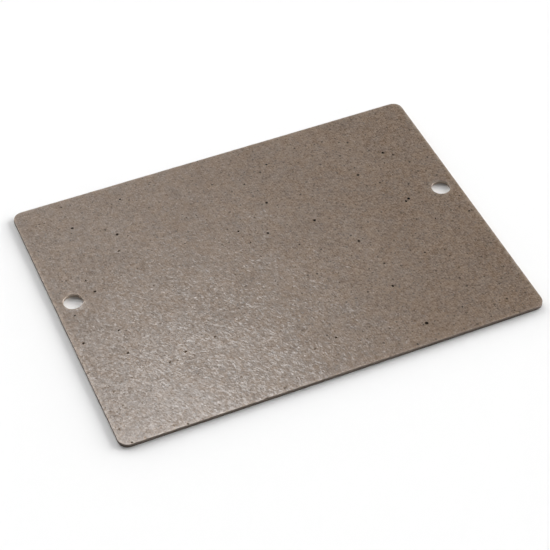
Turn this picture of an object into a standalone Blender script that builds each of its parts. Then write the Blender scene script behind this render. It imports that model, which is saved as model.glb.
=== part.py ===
"""A mica sheet waveguide cover: one thin rectangular plate of pressed mica paper, with rounded
corners and a punched hole near each short edge.

Units are metres and +Z is up. The sheet lies flat: its underside is on Z = 0, and the origin is at
the middle of the underside. +X runs along the long edges and +Y towards the long edge that the
holes are nearer to.
"""

import math

import bmesh
import bpy
from mathutils import Vector

LENGTH = 0.108
WIDTH = 0.080
THICKNESS = 0.0010
CORNER_RADIUS = 0.0025

HOLE_DIAMETER = 0.0050
HOLE_INSET = 0.0046         # from a short edge to the hole's centre
HOLE_OFFSET = 0.0060        # from the long centreline to the hole's centre, towards +Y

EDGE_ROUNDING = 0.00008     # the blunted arris that the cutting die leaves
EDGE_SEGMENTS = 2
CORNER_SEGMENTS = 10
HOLE_SIDES = 64
CUTTER_OVERSHOOT = 0.002    # how far a hole's cutter stands out of each face

MICA_COLOUR = (0.235, 0.195, 0.160, 1.0)
MICA_ROUGHNESS = 0.55
MICA_METALLIC = 0.0
SHARP_ANGLE = math.radians(35)


def clear_scene():
    for thing in list(bpy.data.objects):
        bpy.data.objects.remove(thing, do_unlink=True)


def new_collection(name):
    collection = bpy.data.collections.new(name)
    bpy.context.scene.collection.children.link(collection)
    return collection


def mica_material():
    material = bpy.data.materials.new("mica")
    material.use_nodes = True
    shader = material.node_tree.nodes["Principled BSDF"]
    shader.inputs["Base Color"].default_value = MICA_COLOUR
    shader.inputs["Roughness"].default_value = MICA_ROUGHNESS
    shader.inputs["Metallic"].default_value = MICA_METALLIC
    return material


def add_object(name, mesh_builder, collection):
    """One object whose mesh is the finished bmesh, linked to the collection."""
    mesh = bpy.data.meshes.new(name)
    mesh_builder.to_mesh(mesh)
    mesh_builder.free()
    made = bpy.data.objects.new(name, mesh)
    collection.objects.link(made)
    return made


def blank_plate():
    """The plate before it is punched: a box of the sheet's size with its four upright edges rounded."""
    bm = bmesh.new()
    bmesh.ops.create_cube(bm, size=1.0)
    bmesh.ops.scale(bm, vec=Vector((LENGTH, WIDTH, THICKNESS)), verts=bm.verts)
    bmesh.ops.translate(bm, vec=Vector((0.0, 0.0, THICKNESS / 2)), verts=bm.verts)
    upright = [edge for edge in bm.edges if abs(edge.verts[0].co.z - edge.verts[1].co.z) > THICKNESS / 2]
    bmesh.ops.bevel(
        bm,
        geom=upright,
        affect="EDGES",
        offset=CORNER_RADIUS,
        offset_type="OFFSET",
        segments=CORNER_SEGMENTS,
        profile=0.5,
        material=-1,
    )
    return bm


def hole_cutter(name, x, collection):
    """A plain cylinder that passes right through the sheet at one hole."""
    bm = bmesh.new()
    bmesh.ops.create_cone(
        bm,
        cap_ends=True,
        segments=HOLE_SIDES,
        radius1=HOLE_DIAMETER / 2,
        radius2=HOLE_DIAMETER / 2,
        depth=THICKNESS + 2 * CUTTER_OVERSHOOT,
    )
    cutter = add_object(name, bm, collection)
    cutter.location = (x, HOLE_OFFSET, THICKNESS / 2)
    cutter.hide_render = True
    cutter.display_type = "WIRE"
    return cutter


def punch(sheet, cutter):
    modifier = sheet.modifiers.new("Punch " + cutter.name, "BOOLEAN")
    modifier.operation = "DIFFERENCE"
    modifier.solver = "EXACT"
    modifier.object = cutter


def blunt_edges(sheet):
    """Rounds the sharp edges of the outline and of both holes by the same small amount."""
    modifier = sheet.modifiers.new("Blunted edges", "BEVEL")
    modifier.width = EDGE_ROUNDING
    modifier.segments = EDGE_SEGMENTS
    modifier.limit_method = "ANGLE"
    modifier.angle_limit = math.radians(60)


def mica_sheet(parts, cutters):
    sheet = add_object("mica_sheet", blank_plate(), parts)
    sheet.data.materials.append(mica_material())
    hole_x = LENGTH / 2 - HOLE_INSET
    for side, x in (("left", -hole_x), ("right", hole_x)):
        punch(sheet, hole_cutter("hole_" + side, x, cutters))
    blunt_edges(sheet)
    sheet.data.shade_smooth()
    sheet.data.set_sharp_from_angle(angle=SHARP_ANGLE)
    return sheet


clear_scene()
mica_sheet(new_collection("Mica sheet waveguide cover"), new_collection("Cutters"))
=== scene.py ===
# %% [markdown]
# # A pressed mica sheet, from a plain plate to a finished surface
# The object is a cover for the waveguide outlet inside a microwave oven: one thin plate of mica paper,
# pressed and baked hard, with rounded corners and a punched hole near each short edge. It is a simple
# shape, so nearly all of its character is in its skin: a pebbled grain, small flakes that catch the light
# one by one, a scatter of dark specks, and cut edges that show the layers. This lesson builds that skin
# round the exact plate, which it loads first. Lengths are in metres, unless a comment says mm.

# %% The exact plate
import math

import bmesh
import bpy
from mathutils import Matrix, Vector, noise


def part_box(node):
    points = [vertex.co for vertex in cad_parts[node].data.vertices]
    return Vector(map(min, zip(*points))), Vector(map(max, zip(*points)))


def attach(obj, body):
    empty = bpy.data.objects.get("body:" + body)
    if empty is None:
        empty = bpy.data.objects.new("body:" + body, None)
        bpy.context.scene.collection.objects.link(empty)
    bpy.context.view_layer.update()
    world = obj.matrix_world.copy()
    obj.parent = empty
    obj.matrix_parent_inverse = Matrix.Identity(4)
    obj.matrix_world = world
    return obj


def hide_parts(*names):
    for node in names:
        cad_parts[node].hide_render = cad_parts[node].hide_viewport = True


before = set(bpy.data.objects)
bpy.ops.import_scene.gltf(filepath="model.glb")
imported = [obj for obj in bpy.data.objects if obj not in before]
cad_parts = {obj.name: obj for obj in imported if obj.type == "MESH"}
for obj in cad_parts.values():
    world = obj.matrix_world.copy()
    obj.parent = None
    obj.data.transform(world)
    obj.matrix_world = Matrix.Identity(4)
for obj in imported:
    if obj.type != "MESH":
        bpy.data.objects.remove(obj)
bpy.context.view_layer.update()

MM = 0.001
PLATE_NODE = "mica_sheet"
plate_low, plate_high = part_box(PLATE_NODE)
LENGTH, WIDTH, THICKNESS = plate_high - plate_low
print(f"plate {LENGTH / MM:.1f} x {WIDTH / MM:.1f} x {THICKNESS / MM:.2f} mm")

# %% [markdown]
# ## Where the two holes are
# The plate's own mesh has points only along its outline and round its holes, so the points far from the
# long edges belong to the holes. Reading each hole's centre and radius from them is safer than typing the
# numbers again, because the finished skin then follows the plate if it ever changes.

# %% Holes, read from the plate
plate_points = [v.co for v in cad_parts[PLATE_NODE].data.vertices]
hole_points = [p for p in plate_points if abs(p.y) < WIDTH / 4]


def hole_of(points):
    """(centre x, centre y, radius) of the ring of points round one hole."""
    xs = [p.x for p in points]
    ys = [p.y for p in points]
    centre_x = (min(xs) + max(xs)) / 2
    centre_y = (min(ys) + max(ys)) / 2
    radius = min(math.hypot(p.x - centre_x, p.y - centre_y) for p in points)
    return centre_x, centre_y, radius


HOLES = [hole_of([p for p in hole_points if p.x * side > 0]) for side in (-1, 1)]
for x, y, radius in HOLES:
    print(f"hole at {x / MM:.2f}, {y / MM:.2f} mm, {2 * radius / MM:.2f} mm across")

# %% [markdown]
# ## The camera
# The four straight edges of the sheet meet at four points of the picture, and four points of a known
# rectangle are enough to solve a camera: how far round, how high, how far away and how long a lens. It
# comes out as a long lens from a little under half a metre, which is how small goods are usually shot.
# A camera that is aimed at a point with to_track_quat has no roll, as the real one had none.

# %% Camera
CAMERA_AZIMUTH = math.radians(-23.55)
CAMERA_ELEVATION = math.radians(46.66)
CAMERA_DISTANCE = 0.4264
CAMERA_TARGET = Vector((-0.00163, -0.00534, 0.0010))
CAMERA_LENS = 115.04

towards_camera = Vector((
    math.sin(CAMERA_AZIMUTH) * math.cos(CAMERA_ELEVATION),
    -math.cos(CAMERA_AZIMUTH) * math.cos(CAMERA_ELEVATION),
    math.sin(CAMERA_ELEVATION),
))
camera = bpy.data.objects.new("camera", bpy.data.cameras.new("camera"))
camera.data.lens = CAMERA_LENS
camera.data.sensor_width = 36.0
camera.data.clip_start = 0.01
camera.location = CAMERA_TARGET + towards_camera * CAMERA_DISTANCE
camera.rotation_euler = (-towards_camera).to_track_quat("-Z", "Y").to_euler()
bpy.context.scene.collection.objects.link(camera)
bpy.context.scene.camera = camera
bpy.context.scene.view_settings.view_transform = "Standard"
print("camera at", [round(c, 3) for c in camera.location])

# %% [markdown]
# ## A grid for the skin
# The relief needs many small, even faces on top, and far fewer below. So the skin starts as one coarse
# grid, which is punched, given its thickness and its layers, and only then cut finer on the faces that
# show. A Boolean would also punch the holes, but it leaves thin slivers that catch the light. Here a
# square block of cells is deleted at each hole, and the next step bends the square to a circle.

# %% Grid and punched blocks
COARSE_CELL = 0.72 * MM
CELLS_LONG = round(LENGTH / COARSE_CELL)
CELLS_WIDE = round(WIDTH / COARSE_CELL)
CELL = Vector((LENGTH / CELLS_LONG, WIDTH / CELLS_WIDE))
BLOCK_CELLS = 6


def block_of(hole):
    """(centre x, centre y, half width x, half width y) of the block of cells that a hole is punched from."""
    x, y, _ = hole
    column = round((x + LENGTH / 2) / CELL.x)
    row = round((y + WIDTH / 2) / CELL.y)
    half = BLOCK_CELLS / 2
    return column * CELL.x - LENGTH / 2, row * CELL.y - WIDTH / 2, half * CELL.x, half * CELL.y


BLOCKS = [block_of(hole) for hole in HOLES]


def in_block(point, block):
    x, y, half_x, half_y = block
    return abs(point.x - x) < half_x and abs(point.y - y) < half_y


skin = bmesh.new()
skin.verts.layers.float.new("rim_wear_and_highlight")     # made now, as a new layer makes every point kept so far invalid
bmesh.ops.create_grid(skin, x_segments=CELLS_LONG, y_segments=CELLS_WIDE, size=0.5)
bmesh.ops.scale(skin, vec=Vector((LENGTH, WIDTH, 1.0)), verts=skin.verts)
punched = [f for f in skin.faces if any(in_block(f.calc_center_median(), block) for block in BLOCKS)]
bmesh.ops.delete(skin, geom=punched, context="FACES")
print(f"{len(skin.faces)} cells of {CELL.x / MM:.2f} by {CELL.y / MM:.2f} mm, {len(punched)} punched out")

# %% [markdown]
# ## Thickness and layers
# Mica paper is laid up in plies, and the die's cut shows them. Extruding the whole grid gives a closed
# plate with one band of faces round each cut edge. Cutting the upright edges of that band turns it into a
# stack of rings, one for each place where the profile of the edge changes.

# %% Closed plate with rings round the edges
RING_HEIGHTS = (0.0, 0.07, 0.20, 0.34, 0.47, 0.60, 0.75, 0.90, 1.0)    # shares of the thickness
RINGS = len(RING_HEIGHTS) - 1


def is_upright(edge):
    a, b = edge.verts
    return abs(a.co.z - b.co.z) > THICKNESS / (2 * RINGS)


raised = bmesh.ops.extrude_face_region(skin, geom=skin.faces[:])
raised_verts = [item for item in raised["geom"] if isinstance(item, bmesh.types.BMVert)]
bmesh.ops.translate(skin, vec=Vector((0.0, 0.0, THICKNESS)), verts=raised_verts)
bmesh.ops.subdivide_edges(skin, edges=[e for e in skin.edges if is_upright(e)], cuts=RINGS - 1)
bmesh.ops.recalc_face_normals(skin, faces=skin.faces[:])


def ring_of(vert):
    return round(vert.co.z / THICKNESS * RINGS)


finer = [e for e in skin.edges if not is_upright(e) and ring_of(e.verts[0]) > 0]
bmesh.ops.subdivide_edges(skin, edges=finer, cuts=1, use_grid_fill=True)
open_edges = sum(1 for e in skin.edges if not e.is_manifold)
print(f"{len(skin.faces)} faces, {open_edges} open edges")

# %% [markdown]
# ## Bending squares to circles
# Each square block becomes a round hole when every point keeps its direction from the middle and only its
# distance changes, most at the rim and less and less outwards, until the grid is straight again. The four
# corners work the same way: a point of the square corner slides inwards until it is on the quarter circle.
# The cells stay even, so the grain that is added later runs over them without a seam.

# %% Round holes and round corners
CORNER_RADIUS = 2.5 * MM
BLEND_END = 2.0         # in half widths of a block, where the grid is straight again


def smooth(t):
    """From 0 to 1 with a soft start and a soft end."""
    t = min(max(t, 0.0), 1.0)
    return t * t * (3.0 - 2.0 * t)


def past_corner(x, y):
    """How far a point is past the start of the corner rounding, along each side; 0 if it isn't."""
    return Vector((
        max(abs(x) - (LENGTH / 2 - CORNER_RADIUS), 0.0),
        max(abs(y) - (WIDTH / 2 - CORNER_RADIUS), 0.0),
    ))


def bend(x, y):
    """Where a grid point goes, seen from above."""
    for (hole_x, hole_y, radius), (block_x, block_y, half_x, half_y) in zip(HOLES, BLOCKS):
        reach = max(abs(x - block_x) / half_x, abs(y - block_y) / half_y)
        if reach < BLEND_END:
            from_middle = Vector((x - block_x, y - block_y)).normalized()
            on_circle = Vector((hole_x, hole_y)) + from_middle * radius * reach
            return Vector((x, y)).lerp(on_circle, smooth((BLEND_END - reach) / (BLEND_END - 1.0)))
    past = past_corner(x, y)
    if past.x > 0.0 and past.y > 0.0:
        slide = past * (1.0 - max(past) / past.length)
        return Vector((x - math.copysign(slide.x, x), y - math.copysign(slide.y, y)))
    return Vector((x, y))


cut_verts = {v for e in skin.edges if is_upright(e) for v in e.verts}
level = {v: ring_of(v) for v in skin.verts}
for v in skin.verts:
    v.co.xy = bend(v.co.x, v.co.y)
print(f"{len(cut_verts)} points on the cut edges, in {RINGS + 1} levels")

# %% [markdown]
# ## The cut edge
# A die that cuts pressed mica leaves a face that is upright, but not clean: the plies break at slightly
# different places, and the two arrises are crushed round. Each level of the edge gets its own inset from a
# short profile, and a noise that runs along the edge and differs from level to level. The profile has two
# shallow grooves where plies part. The punch of a hole cuts cleaner than the die of the outline, and once
# it has left, the sheet springs back a little and narrows the hole.

# %% Plies and blunt arrises
EDGE_INSETS = (0.02, 0.00, 0.00, 0.03, 0.00, 0.03, 0.00, 0.01, 0.05)    # mm, from the underside up
PLY_ROUGHNESS = 0.045       # mm
PLY_WANDER = 0.9            # waves per mm along the edge
PLY_SHIFT = 7.3             # how far apart in the noise two levels read it, so that they differ
MOST_OUT = 0.5              # of the roughness, the most that a ply stands out
HOLE_SHARE = 0.3            # of the insets that a hole gets
HOLE_CLOSING = 0.06         # mm that the sheet springs back into a hole
HOLE_REACH = 1.05           # in radii, how near its middle a cut edge belongs to a hole


def at_hole(x, y):
    return any(math.hypot(hole_x - x, hole_y - y) < radius * HOLE_REACH for hole_x, hole_y, radius in HOLES)


def outward(x, y):
    """The way out of the material at a point of a cut edge, seen from above."""
    for hole_x, hole_y, radius in HOLES:
        to_hole = Vector((hole_x - x, hole_y - y))
        if to_hole.length < radius * HOLE_REACH:
            return to_hole.normalized()
    past = past_corner(x, y)
    return Vector((math.copysign(past.x, x), math.copysign(past.y, y))).normalized()


for v in cut_verts:
    x, y = v.co.xy
    ply = level[v]
    wander = noise.noise(Vector((x, y, 0.0)) / MM * PLY_WANDER + Vector((0.0, 0.0, PLY_SHIFT * ply)))
    inset = max(EDGE_INSETS[ply] + PLY_ROUGHNESS * max(wander, -MOST_OUT), 0.0)
    if at_hole(x, y):
        inset = inset * HOLE_SHARE - HOLE_CLOSING
    v.co.xy -= outward(x, y) * inset * MM
    v.co.z = RING_HEIGHTS[ply] * THICKNESS
print("arris inset", EDGE_INSETS[-1], "mm above and", EDGE_INSETS[0], "mm below")

# %% [markdown]
# ## The pebbled face
# The sheet is pressed between cloth and steel while its binder cures, so its face keeps a grain: pebbles
# about 0.7 mm across, drawn out a little along the way the paper was laid, and slow waves that only show
# where the light glances. The punch also raises a small lip round each hole, and the die presses the outer
# rim down by a hair. All of it is moved into the mesh itself, point by point, because light and shadow on a
# real shape change with the view, as they do on the sheet. Only the finest grain, which is smaller than the
# cells, is left to the material. Each point also gets a number that is high beside a cut edge: the material
# reads it later and makes the rims pale, partly as rubbed wear and partly as a painted highlight where the
# rounded arris catches the light.

# %% Relief of the two faces
GRAIN_DIRECTION = math.radians(120)     # from +X, seen from above
GRAIN_STRETCH = 1.3
PEBBLES_PER_MM = 1.5
PEBBLE_HEIGHT = 0.012       # mm
SMALL_PEBBLES = 1.9         # times as many per mm as the others
SMALL_PEBBLE_SHARE = 0.5    # of the others' height
SMALL_PEBBLE_SHIFT = Vector((5.1, 2.7, 0.0))
WAVES_PER_MM = 0.075
WAVE_HEIGHT = 0.040         # mm
WAVE_FRACTAL = (1.0, 2.0, 3)    # three sizes of wave, each half as long as the last and half as high
FACE_SINK = 0.035           # mm that the face's middle level lies below the plate's exact top
LIP_HEIGHT = 0.035          # mm that the punch raises round a hole
LIP_WIDTH = 0.45            # mm
RIM_DROOP = 0.004           # mm that the die presses the outer rim down
RIM_WIDTH = 0.40            # mm
UNDERSIDE_GAP = 0.012       # mm between the underside's middle level and what the sheet lies on
UNDERSIDE_SHIFT = 31.0      # how far apart in the noise the two faces read it, so that they differ
RIM_WEAR_AND_HIGHLIGHT_WIDTH = 0.48           # mm from a cut edge within which the face is made pale: rubbed wear and a painted highlight
RIM_WEAR_AND_HIGHLIGHT_WANDER = 0.6           # waves per mm in that width
LESS_RIM_WEAR_AND_HIGHLIGHT = 0.5             # at the long edges and the holes, of what the short edges have

along_grain = Vector((math.cos(GRAIN_DIRECTION), math.sin(GRAIN_DIRECTION)))
across_grain = Vector((-along_grain.y, along_grain.x))


def grain_space(x, y):
    """A point in millimetres, turned to the grain and shortened along it."""
    point = Vector((x, y)) / MM
    return Vector((point.dot(along_grain) / GRAIN_STRETCH, point.dot(across_grain), 0.0))


def hole_distance(x, y):
    return min(math.hypot(x - hole_x, y - hole_y) - radius for hole_x, hole_y, radius in HOLES) / MM


def rim_distance(x, y):
    past = past_corner(x, y)
    return (CORNER_RADIUS - past.length) / MM if past.length > 0.0 else CORNER_RADIUS / MM


def rim_wear_and_highlight_at(x, y):
    """How pale the face is made beside a cut edge, from 0 to 1: rubbed wear, and a painted highlight on the
    arris.
    """
    width = RIM_WEAR_AND_HIGHLIGHT_WIDTH * (1.0 + noise.noise(Vector((x, y, 0.0)) / MM * RIM_WEAR_AND_HIGHLIGHT_WANDER))
    fades = math.exp(-(min(rim_distance(x, y), hole_distance(x, y)) / width) ** 2)
    at_short_end = LENGTH / 2 - abs(x) < WIDTH / 2 - abs(y)
    by_short_edge = at_short_end and rim_distance(x, y) < hole_distance(x, y)
    return fades if by_short_edge else fades * LESS_RIM_WEAR_AND_HIGHLIGHT


def pebbles(x, y, shift):
    place = grain_space(x, y) * PEBBLES_PER_MM + Vector((0.0, 0.0, shift))
    small = noise.noise(place * SMALL_PEBBLES + SMALL_PEBBLE_SHIFT)
    return noise.noise(place) + SMALL_PEBBLE_SHARE * small


def upper_face(x, y):
    """Height of the upper face over the plate's exact top, in mm."""
    waves = noise.fractal(Vector((x, y, 0.0)) / MM * WAVES_PER_MM, *WAVE_FRACTAL)
    lip = LIP_HEIGHT * math.exp(-(hole_distance(x, y) / LIP_WIDTH) ** 2)
    droop = RIM_DROOP * math.exp(-(rim_distance(x, y) / RIM_WIDTH) ** 2)
    return PEBBLE_HEIGHT * pebbles(x, y, 0.0) + WAVE_HEIGHT * waves + lip - droop - FACE_SINK


def lower_face(x, y):
    """Height of the underside over the surface it lies on, in mm."""
    return max(UNDERSIDE_GAP + PEBBLE_HEIGHT * pebbles(x, y, UNDERSIDE_SHIFT), 0.0)


rim_wear_and_highlight = skin.verts.layers.float["rim_wear_and_highlight"]
heights = []
for v in skin.verts:
    x, y = v.co.xy
    v[rim_wear_and_highlight] = rim_wear_and_highlight_at(x, y)
    if level[v] == RINGS:
        heights.append(upper_face(x, y))
        v.co.z = THICKNESS + heights[-1] * MM
    elif level[v] == 0:
        v.co.z = lower_face(x, y) * MM
print(f"upper face between {min(heights):.3f} and {max(heights):.3f} mm of the exact top")

# %% [markdown]
# ## From mesh to object
# The faces are sorted into four kinds before the mesh is made: the two pressed faces, the cut edge, the
# crushed rim along the top of every cut, and the walls of the punched holes. Each kind is a material of its
# own, since a cut shows the inside of the sheet, and the walls of the holes are painted much paler, as
# painted light.
# Smooth shading is kept, apart from where the surface really turns a corner.

# %% The finished skin as an object
PRESSED, CUT, CRUSHED, PUNCHED = range(4)
SHARP_TURN = math.radians(30)


def kind_of(face):
    levels = {level[v] for v in face.verts}
    if levels in ({0}, {RINGS}):
        return PRESSED
    if RINGS in levels:
        return CRUSHED
    return PUNCHED if at_hole(*face.calc_center_median().xy) else CUT


for face in skin.faces:
    face.material_index = kind_of(face)
    face.smooth = True
sheet_mesh = bpy.data.meshes.new("pressed_mica_sheet")
skin.to_mesh(sheet_mesh)
skin.free()
sheet_mesh.set_sharp_from_angle(angle=SHARP_TURN)
sheet = bpy.data.objects.new("pressed_mica_sheet", sheet_mesh)
bpy.context.scene.collection.objects.link(sheet)
triangles = sum(len(p.vertices) - 2 for p in sheet_mesh.polygons)
print(f"{triangles} triangles, {[round(c / MM, 3) for c in sheet.dimensions]} mm")

# %% [markdown]
# ## Helpers for the materials
# A material is a small network of nodes, and written out in full it hides its own idea. These helpers add
# one node at a time: each input is either a plain value or the output of an earlier node, so a recipe
# reads like a list of steps. All of them start from the object's own coordinates, turned to millimetres,
# so a pattern stays where it is on the sheet, and its sizes are real sizes.

# %% Node helpers
def start_material(name):
    """(material, its node tree, its main shader, the object's coordinates in millimetres)."""
    material = bpy.data.materials.new(name)
    material.use_nodes = True
    tree = material.node_tree
    coordinates = tree.nodes.new("ShaderNodeTexCoord").outputs["Object"]
    place = scaled(tree, coordinates, 1.0 / MM)
    return material, tree, tree.nodes["Principled BSDF"], place


def add_node(tree, kind, inputs, **settings):
    node = tree.nodes.new(kind)
    for name, value in settings.items():
        setattr(node, name, value)
    for name, value in inputs.items():
        if isinstance(value, bpy.types.NodeSocket):
            tree.links.new(value, node.inputs[name])
        else:
            node.inputs[name].default_value = value
    return node


def math_of(tree, operation, a, b):
    return add_node(tree, "ShaderNodeMath", {0: a, 1: b}, operation=operation).outputs[0]


def scaled(tree, vector, times):
    inputs = {0: vector, "Scale": times}
    return add_node(tree, "ShaderNodeVectorMath", inputs, operation="SCALE").outputs["Vector"]


def ramp(tree, value, start, end, low=0.0, high=1.0):
    """A soft step from low to high while the value goes from start to end."""
    inputs = {"Value": value, "From Min": start, "From Max": end, "To Min": low, "To Max": high}
    return add_node(tree, "ShaderNodeMapRange", inputs, interpolation_type="SMOOTHSTEP").outputs["Result"]


def mix_colours(tree, share, first, second):
    """The first colour where the share is 0, the second where it is 1."""
    return add_node(tree, "ShaderNodeMix", {0: share, 6: first, 7: second}, data_type="RGBA").outputs[2]


def add_colour(tree, colour, extra, share):
    """The colour with a share of another one added to it; a negative share takes it away."""
    inputs = {0: extra[:3], 1: share, 2: colour}
    return add_node(tree, "ShaderNodeVectorMath", inputs, operation="MULTIPLY_ADD").outputs["Vector"]


def bumped(tree, height, depth):
    """The surface's direction once the height is carved into it, as deep as depth in mm."""
    inputs = {"Height": height, "Strength": 1.0, "Distance": depth * MM}
    return add_node(tree, "ShaderNodeBump", inputs).outputs["Normal"]


# %% [markdown]
# ## Patterns
# Two patterns are enough for the whole sheet: a soft noise, and cells, which divide the plane round
# scattered middles and give each cell random numbers of its own. The rest of the helpers change the place
# that a pattern reads: drawn out along the grain, or pushed about, which makes round cells ragged. The
# cells are flat and run straight through the sheet, because a cell of three dimensions would mostly have
# its middle above or below the face, and a speck there would never be seen.

# %% Noise and cells
MOST_NOISE = (0.3, 0.7)         # nearly all values of a soft noise lie between these
MIDDLE_NOISE = (0.35, 0.65)


def cloudy(tree, place, per_mm, detail=2.0, roughness=0.5):
    """A soft noise from 0 to 1 with so many waves per millimetre."""
    inputs = {"Vector": place, "Scale": per_mm, "Detail": detail, "Roughness": roughness}
    return add_node(tree, "ShaderNodeTexNoise", inputs).outputs["Fac"]


def pushed(tree, vector, random, push):
    """The vector, moved to a random side by up to half of the push; random is a colour of random numbers."""
    centred = add_node(tree, "ShaderNodeVectorMath", {0: random, 1: (0.5,) * 3}, operation="SUBTRACT")
    inputs = {0: centred.outputs["Vector"], 1: (push,) * 3, 2: vector}
    return add_node(tree, "ShaderNodeVectorMath", inputs, operation="MULTIPLY_ADD").outputs["Vector"]


def warped(tree, place, per_mm, push):
    """The place, pushed about by a soft noise in mm, which makes round things ragged."""
    random = add_node(tree, "ShaderNodeTexNoise", {"Vector": place, "Scale": per_mm, "Detail": 2.0})
    return pushed(tree, place, random.outputs["Color"], push)


def stretched(tree, place, times):
    """The place, turned to the grain's direction, with all patterns drawn out along it so many times."""
    inputs = {"Vector": place, "Rotation": (0.0, 0.0, GRAIN_DIRECTION), "Scale": (times, 1.0, 1.0)}
    return add_node(tree, "ShaderNodeMapping", inputs, vector_type="TEXTURE").outputs["Vector"]


def cells(tree, place, per_mm):
    """Random cells with so many per millimetre: (distance from a cell's middle, its own random colour)."""
    inputs = {"Vector": place, "Scale": per_mm}
    node = add_node(tree, "ShaderNodeTexVoronoi", inputs, feature="F1", voronoi_dimensions="2D")
    return node.outputs["Distance"], node.outputs["Color"]


def numbers_in(tree, colour):
    """The three random numbers from 0 to 1 that a random colour stands for."""
    return add_node(tree, "ShaderNodeSeparateColor", {"Color": colour}).outputs[:3]


# %% [markdown]
# ## Spots
# Silver flakes and dark specks are both spots. The small ones come from cells: a share of the cells holds
# one, and the cell's own random numbers give its width and its strength. A mottle is softer, and every
# cell has one. The largest specks catch the eye, so each of them has a place of its own, and the material
# measures how far away it is.

# %% Small and large spots
SMALLEST_SPOT = 0.55        # of the widest
FAINTEST_SPOT = 0.4         # of the strongest
SPOT_EDGE = (0.85, 1.15)    # in radii, from where a spot fades to where it ends
SPECK_EDGE = (0.46, 0.62)   # the same for a large speck, in widths
MOTTLE_EDGE = (0.10, 0.60)  # the same for a mottle, in widths of its cell

# The largest dark specks: X, Y and width on the upper face, in mm
LARGE_SPECKS = (
    (25.0, -34.0, 0.8), (-43.0, -14.5, 0.6), (-43.5, 7.0, 0.7), (3.5, -29.5, 0.6), (40.0, 5.5, 0.7),
    (39.0, 5.0, 0.6), (6.5, 18.5, 0.6), (-32.0, 23.0, 0.7), (2.5, 8.5, 0.6), (-41.5, 29.5, 0.7),
    (32.0, 18.5, 0.7), (15.0, 8.0, 0.7), (41.5, 23.5, 0.7), (22.0, -3.0, 0.6), (-27.0, 34.5, 0.6),
    (23.0, -20.0, 0.6), (-4.0, 12.0, 0.5), (12.0, 31.5, 0.6), (-30.5, -19.5, 0.6), (-51.5, -7.5, 0.6),
    (-22.5, -18.0, 0.5), (-50.5, 1.5, 0.5), (-42.5, -7.0, 0.5), (-33.5, 17.5, 0.6), (52.0, -4.5, 0.5),
    (4.0, 27.0, 0.5), (43.0, -3.5, 0.4), (-35.0, -21.0, 0.5), (-51.3, -39.6, 0.4), (-37.9, -39.7, 0.4),
)


def scattered_spots(tree, place, per_mm, width, kept, strength):
    """Spots at random: a share of the cells holds one, each of its own width and strength."""
    distance, random = cells(tree, place, per_mm)
    chance, size, depth = numbers_in(tree, random)
    radius = math_of(tree, "MULTIPLY", ramp(tree, size, 0.0, 1.0, SMALLEST_SPOT, 1.0), width / 2 * per_mm)
    inside = ramp(tree, math_of(tree, "DIVIDE", distance, radius), *SPOT_EDGE, 1.0, 0.0)
    held = math_of(tree, "MULTIPLY", inside, math_of(tree, "LESS_THAN", chance, kept))
    return math_of(tree, "MULTIPLY", held, ramp(tree, depth, 0.0, 1.0, FAINTEST_SPOT * strength, strength))


def mottles(tree, place, per_mm, darkest, palest):
    """A soft dot in the middle of every cell, each of its own shade between the darkest and the palest."""
    distance, random = cells(tree, place, per_mm)
    shade, _, _ = numbers_in(tree, random)
    soft_dot = ramp(tree, distance, *MOTTLE_EDGE, 1.0, 0.0)
    return math_of(tree, "MULTIPLY", soft_dot, ramp(tree, shade, 0.0, 1.0, darkest, palest))


def placed_specks(tree, place):
    """The large specks, one after another, each kept where it is darker than those before it."""
    together = 0.0
    fade_start, end = SPECK_EDGE
    for x, y, width in LARGE_SPECKS:
        centre = (x, y, THICKNESS / MM)
        away = add_node(tree, "ShaderNodeVectorMath", {0: place, 1: centre}, operation="DISTANCE")
        speck = ramp(tree, away.outputs["Value"], width * fade_start, width * end, 1.0, 0.0)
        together = math_of(tree, "MAXIMUM", speck, together)
    return together


def small_specks(tree, place):
    medium = scattered_spots(tree, place, per_mm=0.26, width=0.62, kept=0.50, strength=0.65)
    tiny = scattered_spots(tree, place, per_mm=0.50, width=0.46, kept=0.40, strength=0.50)
    return math_of(tree, "MAXIMUM", medium, tiny)


print(len(LARGE_SPECKS), "large specks, up to", max(width for _, _, width in LARGE_SPECKS), "mm wide")

# %% [markdown]
# ## Mica paper
# The pressed face is one brownish grey, broken up at several sizes. Clouds of 15 mm come from the binder,
# warm and cool patches of 3 mm from the pulp, soft mottles of half a millimetre are clumps of flakes, and
# the flakes themselves are 0.3 mm wide. Over these lie silver flakes, as bright as the rest but less
# brown, and the specks, which are bits of dark mica that were never split. Each size has its own range of
# shades: a shade is added to the colour, so 0 leaves it as it is, and less than 0 makes it darker.

# %% Colours and shades of the face
MICA_COLOUR = (0.155, 0.1124, 0.0808, 1.0)
WARM_COLOUR = (0.1685, 0.1155, 0.0775, 1.0)
COOL_COLOUR = (0.1457, 0.1102, 0.0852, 1.0)
TINT_SHARE = 0.6            # of the warm and cool patches in the colour
GRAIN_COLOUR = (0.120, 0.103, 0.087, 1.0)   # what a grain of shade 1 has more than the mean
SILVER_COLOUR = (-0.0185, -0.00143, 0.00869, 1.0)   # the same for a silver flake: less red, more blue
RUBBED_AND_HIGHLIGHT_COLOUR = (0.112, 0.094, 0.080, 1.0)  # the same for the pale rims: rubbed wear and a painted highlight on the arris
SPECK_COLOUR = (0.022, 0.015, 0.010, 1.0)
CLOUD_SHADES = (-0.05, 0.05)
FLAKE_SHADES = (-0.12, 0.12)
FINE_SHADES = (-0.17, 0.19)
MOTTLE_SHADES = (-0.40, 0.50)
MOTTLES_PER_MM = 1.8

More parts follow.
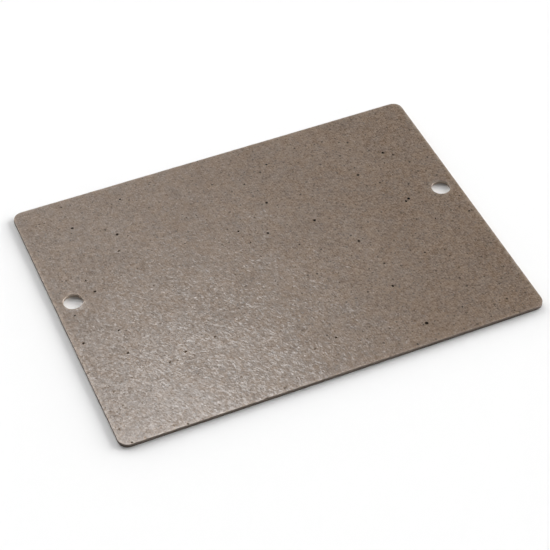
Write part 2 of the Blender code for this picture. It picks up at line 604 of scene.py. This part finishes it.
darkest = sum(shades[0] for shades in (CLOUD_SHADES, FLAKE_SHADES, FINE_SHADES, MOTTLE_SHADES))
palest = sum(shades[1] for shades in (CLOUD_SHADES, FLAKE_SHADES, FINE_SHADES, MOTTLE_SHADES))
print(f"shades from {darkest:.2f} to {palest:.2f}")

# %% [markdown]
# ## The shine
# It is satin: a flake is smooth, but no two lie quite level, so each flake leans its own way, and the
# roughness differs from flake to flake. A bump map adds the finest grain. The specks are turned metallic,
# which gives dark mica its dull lustre: left as they are, such dark spots mirror the bright screens in
# pale blue. With the colours and the shine in place, the whole pressed face is one recipe.

# %% Pressed face
FLAKES_PER_MM = 3.6
FLAKE_STRETCH = 2.5
FLAKE_LEAN = 0.061          # radians between the flakes that lean the most to either side
FLAKE_ROUGHNESS = (0.19, 0.27)
MICA_IOR = 1.58
RELIEF = 0.020              # mm that the finest grain is high
FLAKE_STEP = 0.12           # of it, between the highest and the lowest flake
CRUMB_HEIGHT = 0.4          # of it
SPECK_DEPTH = 0.5           # of it


def pressed_face():
    material, tree, shader, place = start_material("pressed_face")

    ragged = warped(tree, place, per_mm=2.2, push=0.30)
    flake_place = warped(tree, stretched(tree, place, FLAKE_STRETCH), per_mm=3.0, push=0.3)
    _, flakes = cells(tree, flake_place, FLAKES_PER_MM)
    flake_gloss, _, flake_shade = numbers_in(tree, flakes)
    fine = cloudy(tree, stretched(tree, place, GRAIN_STRETCH), per_mm=2.4, detail=1.0, roughness=0.6)
    crumbs = cloudy(tree, place, per_mm=3.0, detail=0.0)
    patches = cloudy(tree, place, per_mm=0.33, detail=3.0, roughness=0.6)
    clouds = cloudy(tree, place, per_mm=0.065)
    rubbed_and_highlight = add_node(tree, "ShaderNodeAttribute", {}, attribute_name="rim_wear_and_highlight").outputs["Fac"]

    tint = mix_colours(tree, ramp(tree, patches, *MOST_NOISE), COOL_COLOUR, WARM_COLOUR)
    colour = mix_colours(tree, TINT_SHARE, MICA_COLOUR, tint)
    cloud_shade = ramp(tree, clouds, *MOST_NOISE, *CLOUD_SHADES)
    grain = math_of(tree, "ADD", cloud_shade, ramp(tree, flake_shade, 0.0, 1.0, *FLAKE_SHADES))
    grain = math_of(tree, "ADD", grain, ramp(tree, fine, *MOST_NOISE, *FINE_SHADES))
    grain = math_of(tree, "ADD", grain, mottles(tree, ragged, MOTTLES_PER_MM, *MOTTLE_SHADES))
    silver = scattered_spots(tree, ragged, per_mm=1.15, width=0.46, kept=0.40, strength=1.0)
    colour = add_colour(tree, colour, GRAIN_COLOUR, grain)
    colour = add_colour(tree, colour, SILVER_COLOUR, silver)
    # The pale rims are partly rubbed wear and partly a painted highlight where the rounded arris catches the
    # light.
    colour = add_colour(tree, colour, RUBBED_AND_HIGHLIGHT_COLOUR, rubbed_and_highlight)
    specks = math_of(tree, "MAXIMUM", placed_specks(tree, ragged), small_specks(tree, ragged))
    colour = mix_colours(tree, specks, colour, SPECK_COLOUR)
    tree.links.new(colour, shader.inputs["Base Color"])

    gloss = ramp(tree, flake_gloss, 0.0, 1.0, *FLAKE_ROUGHNESS)
    tree.links.new(gloss, shader.inputs["Roughness"])
    tree.links.new(specks, shader.inputs["Metallic"])
    shader.inputs["IOR"].default_value = MICA_IOR

    height = math_of(tree, "ADD", fine, math_of(tree, "MULTIPLY", flake_shade, FLAKE_STEP))
    height = math_of(tree, "ADD", height, math_of(tree, "MULTIPLY", crumbs, CRUMB_HEIGHT))
    height = math_of(tree, "SUBTRACT", height, math_of(tree, "MULTIPLY", specks, SPECK_DEPTH))
    leaning = pushed(tree, bumped(tree, height, RELIEF), flakes, FLAKE_LEAN)
    normal = add_node(tree, "ShaderNodeVectorMath", {0: leaning}, operation="NORMALIZE")
    tree.links.new(normal.outputs["Vector"], shader.inputs["Normal"])
    return material


sheet_mesh.materials.append(pressed_face())
print("pressed face:", len(sheet_mesh.materials[PRESSED].node_tree.nodes), "nodes")

# %% [markdown]
# ## Cut edge and crushed rim
# The outer edge is a little darker than the faces, because a cut runs across the flakes and no flake mirrors
# the light. It is also darker still towards the underside, as painted shade where the edge meets the floor,
# and paler at the top, as painted light from above. Thin lines along it are the plies. The rim that the die
# crushed is dull and uneven, neither paler nor darker than the face on the whole. The walls of the holes are
# painted much paler, as painted light that stands in for the light a narrow hole hardly gets, and they too
# are darker towards the bottom as painted shade.

# %% Cut edge, rim and hole walls
EDGE_COLOURS_SHADED_LOW = (0.082, 0.060, 0.046, 1.0), (0.150, 0.118, 0.094, 1.0)   # low and high on the edge: darker low down as painted shade, paler high up as painted light
PAINTED_PALE_WALL_COLOURS = (0.42, 0.35, 0.29, 1.0), (0.56, 0.48, 0.41, 1.0)         # low and high in a hole: pale all over as painted light, darker low down as painted shade
RIM_COLOURS = (0.10, 0.078, 0.062, 1.0), (0.18, 0.145, 0.118, 1.0)
LOW_TO_HIGH = (0.2, 0.9)        # mm above the underside, between which the colour goes from painted shade to painted light
PLY_CROWDING = (0.25, 0.25, 5.0)    # draws the pattern out along the edge and crowds it in Z
PLY_SHADES = (0.7, 1.2)         # of the colour
PALE_CRUMBS = (0.55, 0.75)      # values of their noise between which they turn pale
CRUMB_SHARE = 0.5               # of the high colour in the palest crumbs
EDGE_ROUGHNESS = 0.75
RIM_ROUGHNESS = 0.6
EDGE_RELIEF = 0.02              # mm


def cut_edge(name, shaded_low_colour, lit_high_colour):
    """A cut through the sheet, darker near the underside as painted shade, paler near the upper face as
    painted light.
    """
    material, tree, shader, place = start_material(name)
    squashed = {"Vector": place, "Scale": PLY_CROWDING}
    flattened = add_node(tree, "ShaderNodeMapping", squashed, vector_type="POINT").outputs["Vector"]
    plies = cloudy(tree, flattened, per_mm=1.2, roughness=0.7)
    crumbs = cloudy(tree, place, per_mm=3.0)
    height_up = add_node(tree, "ShaderNodeSeparateXYZ", {"Vector": place}).outputs["Z"]
    # Darker towards the underside as painted shade where the edge meets the floor, paler at the top as
    # painted light.
    colour = mix_colours(tree, ramp(tree, height_up, *LOW_TO_HIGH), shaded_low_colour, lit_high_colour)
    colour = scaled(tree, colour, ramp(tree, plies, *MIDDLE_NOISE, *PLY_SHADES))
    colour = mix_colours(tree, ramp(tree, crumbs, *PALE_CRUMBS, 0.0, CRUMB_SHARE), colour, lit_high_colour)
    tree.links.new(colour, shader.inputs["Base Color"])
    shader.inputs["Roughness"].default_value = EDGE_ROUGHNESS
    height = math_of(tree, "ADD", plies, crumbs)
    tree.links.new(bumped(tree, height, EDGE_RELIEF), shader.inputs["Normal"])
    return material


def crushed_rim():
    material, tree, shader, place = start_material("crushed_rim")
    crumbs = cloudy(tree, place, per_mm=1.3, detail=3.0, roughness=0.7)
    colour = mix_colours(tree, ramp(tree, crumbs, *MIDDLE_NOISE), *RIM_COLOURS)
    tree.links.new(colour, shader.inputs["Base Color"])
    shader.inputs["Roughness"].default_value = RIM_ROUGHNESS
    tree.links.new(bumped(tree, crumbs, EDGE_RELIEF), shader.inputs["Normal"])
    return material


sheet_mesh.materials.append(cut_edge("cut_edge", *EDGE_COLOURS_SHADED_LOW))
sheet_mesh.materials.append(crushed_rim())
# The hole walls are pale as painted light, for the light that hardly reaches into a hole.
sheet_mesh.materials.append(cut_edge("punched_wall", *PAINTED_PALE_WALL_COLOURS))
print("materials:", [m.name for m in sheet_mesh.materials])

# %% [markdown]
# ## The floor
# The sheet lies on plain white, a hair above it, so that its underside and the floor never share a level.

# %% Floor
FLOOR_WHITE = 0.85
FLOOR_GAP = 0.01 * MM
FLOOR_HALF = 2.0            # half of the floor's side

floor_mesh = bpy.data.meshes.new("floor")
floor_builder = bmesh.new()
bmesh.ops.create_grid(floor_builder, x_segments=1, y_segments=1, size=FLOOR_HALF)
floor_builder.to_mesh(floor_mesh)
floor_builder.free()
floor = bpy.data.objects.new("floor", floor_mesh)
floor.location.z = -FLOOR_GAP
bpy.context.scene.collection.objects.link(floor)
floor_material = bpy.data.materials.new("white_floor")
floor_material.use_nodes = True
floor_shader = floor_material.node_tree.nodes["Principled BSDF"]
floor_shader.inputs["Base Color"].default_value = (FLOOR_WHITE, FLOOR_WHITE, FLOOR_WHITE, 1.0)
floor_shader.inputs["Roughness"].default_value = 1.0
floor_shader.inputs["Specular IOR Level"].default_value = 0.0
floor_mesh.materials.append(floor_material)
print(f"floor {2 * FLOOR_HALF:.0f} m wide, {FLOOR_GAP / MM:.2f} mm below the sheet")

# %% [markdown]
# ## The light
# The shadow beside the sheet tells where the light is. It is wide beside the near and the left edge and
# nearly missing beside the other two, so much of the light comes in low, from behind and from the right.
# That is the room: pale walls, a dim ceiling and two bright screens low on the walls. The sheen on the
# near left end needs a light of its own, small and high behind, close to where the face mirrors it to the
# camera. Brightness is given by what it does: a room of 1 all over would light the white floor to just 1.

# %% Room and lamp
WALL_BRIGHTNESS = 0.80
CEILING_BRIGHTNESS = 0.10
WALL_TOP = (7, 13)          # degrees above the floor, where the wall starts to darken and where it ends
# Azimuth from +Y towards +X, elevation, radius of the even middle, radius where it has faded, brightness
RIGHT_SCREEN = (84, 0, 18.6, 46.4, 9.9)
BACK_SCREEN = (-10, 0, 20.0, 49.9, 5.9)
HIGH_LAMP = (16.5, 56.8, 1.4, 0.25, 0.089)    # azimuth, elevation, distance, size, share of the floor's light


def way_towards(azimuth, elevation):
    a, e = math.radians(azimuth), math.radians(elevation)
    return Vector((math.sin(a) * math.cos(e), math.cos(a) * math.cos(e), math.sin(e)))


def screen(tree, looking, azimuth, elevation, middle, faded, brightness):
    """A round bright patch in the room that fades out softly; the floor hides what is below it."""
    inputs = {0: looking, 1: way_towards(azimuth, elevation)}
    facing = add_node(tree, "ShaderNodeVectorMath", inputs, operation="DOT_PRODUCT").outputs["Value"]
    outer = math.cos(math.radians(faded))
    inner = math.cos(math.radians(middle))
    return ramp(tree, facing, outer, inner, 0.0, brightness)


def room_light():
    room = bpy.data.worlds.new("room")
    room.use_nodes = True
    tree = room.node_tree
    looking = tree.nodes.new("ShaderNodeTexCoord").outputs["Generated"]
    height = add_node(tree, "ShaderNodeSeparateXYZ", {"Vector": looking}).outputs["Z"]
    wall_start, wall_end = [math.sin(math.radians(angle)) for angle in WALL_TOP]
    light = ramp(tree, height, wall_start, wall_end, WALL_BRIGHTNESS, CEILING_BRIGHTNESS)
    light = math_of(tree, "ADD", light, screen(tree, looking, *RIGHT_SCREEN))
    light = math_of(tree, "ADD", light, screen(tree, looking, *BACK_SCREEN))
    background = tree.nodes["Background"]
    background.inputs["Color"].default_value = (1.0, 1.0, 1.0, 1.0)
    tree.links.new(math_of(tree, "DIVIDE", light, FLOOR_WHITE), background.inputs["Strength"])
    return room


def soft_lamp(name, azimuth, elevation, distance, size, share):
    """A square lamp aimed at the sheet; its power follows from the share of the floor's light it gives."""
    towards = way_towards(azimuth, elevation)
    lamp = bpy.data.lights.new(name, "AREA")
    lamp.shape = "SQUARE"
    lamp.size = size
    lamp.energy = share / FLOOR_WHITE * math.pi ** 2 * distance ** 2 / towards.z
    stand = bpy.data.objects.new(name, lamp)
    stand.location = towards * distance
    stand.rotation_euler = towards.to_track_quat("Z", "Y").to_euler()
    bpy.context.scene.collection.objects.link(stand)
    return lamp


bpy.context.scene.world = room_light()
high_lamp = soft_lamp("high_lamp", *HIGH_LAMP)
print(f"high lamp of {high_lamp.energy:.1f} W")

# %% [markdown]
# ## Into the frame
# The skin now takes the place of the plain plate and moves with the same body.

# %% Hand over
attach(sheet, "root")
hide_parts(PLATE_NODE)
